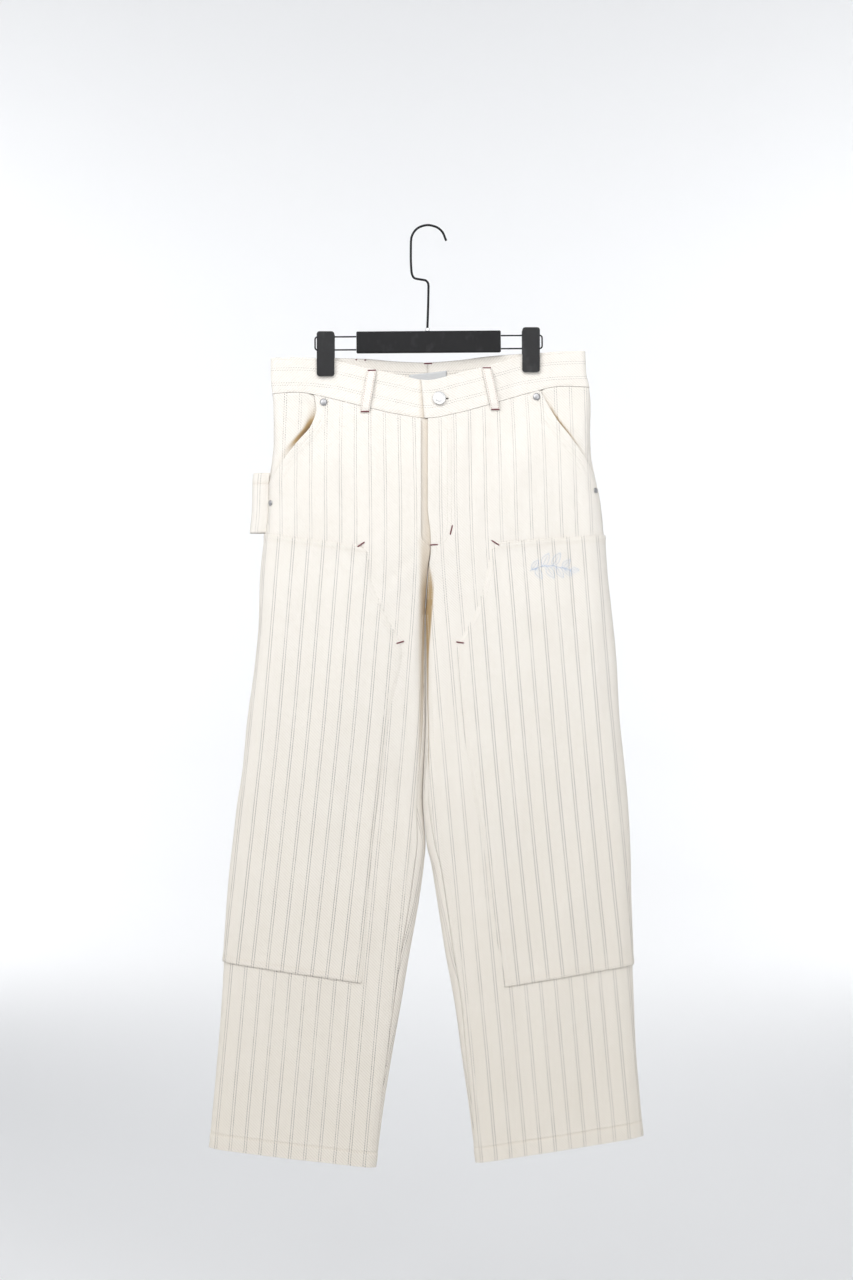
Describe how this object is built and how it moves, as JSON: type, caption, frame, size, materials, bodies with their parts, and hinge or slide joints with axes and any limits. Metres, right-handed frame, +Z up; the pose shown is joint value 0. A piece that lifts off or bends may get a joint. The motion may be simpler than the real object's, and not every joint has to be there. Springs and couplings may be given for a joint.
{
  "type": "carpenter pants on a clip hanger",
  "caption": "Wide carpenter pants in striped cream twill with double knees, slant pockets and a side tool loop, hung flat by the waist from a black clip hanger.",
  "frame": {"origin": "inside of the hook's top, where the hanger rests on its rail or peg", "axes": "+Z up, +X towards the wearer's left, +Y towards the back; the front faces -Y"},
  "size_m": [0.5637, 0.0528, 1.2254],
  "materials": {
    "striped_twill": "cream cotton twill with fine dotted grey-blue double stripes",
    "label": "plain grey woven label",
    "button_metal": "satin silver metal",
    "hanger_black": "fine-grained matte black",
    "hanger_wire": "black lacquered steel wire"
  },
  "bodies": {
    "root": {"front_right": "striped_twill", "front_left": "striped_twill", "back_right": "striped_twill", "back_left": "striped_twill", "double_knee_right": "striped_twill", "double_knee_left": "striped_twill", "pocket_facing_right": "striped_twill", "pocket_facing_left": "striped_twill", "fly_shield": "striped_twill", "waistband_right": "striped_twill", "waistband_left": "striped_twill", "belt_loop_front_right": "striped_twill", "belt_loop_front_left": "striped_twill", "belt_loop_back_right": "striped_twill", "belt_loop_back_middle": "striped_twill", "belt_loop_back_left": "striped_twill", "tool_loop": "striped_twill", "label": "label", "button": "button_metal", "rivet_pocket_top_right": "button_metal", "rivet_pocket_top_left": "button_metal", "rivet_pocket_end_right": "button_metal", "rivet_pocket_end_left": "button_metal", "hook_ferrule": "button_metal", "hanger_bar": "hanger_black", "clip_jaw_front_right": "hanger_black", "clip_jaw_back_right": "hanger_black", "clip_jaw_front_left": "hanger_black", "clip_jaw_back_left": "hanger_black", "hanger_wire_right": "hanger_wire", "hanger_wire_left": "hanger_wire", "clip_spring_right": "hanger_wire", "clip_spring_left": "hanger_wire", "hook": "hanger_wire"}
  },
  "joints": []
}
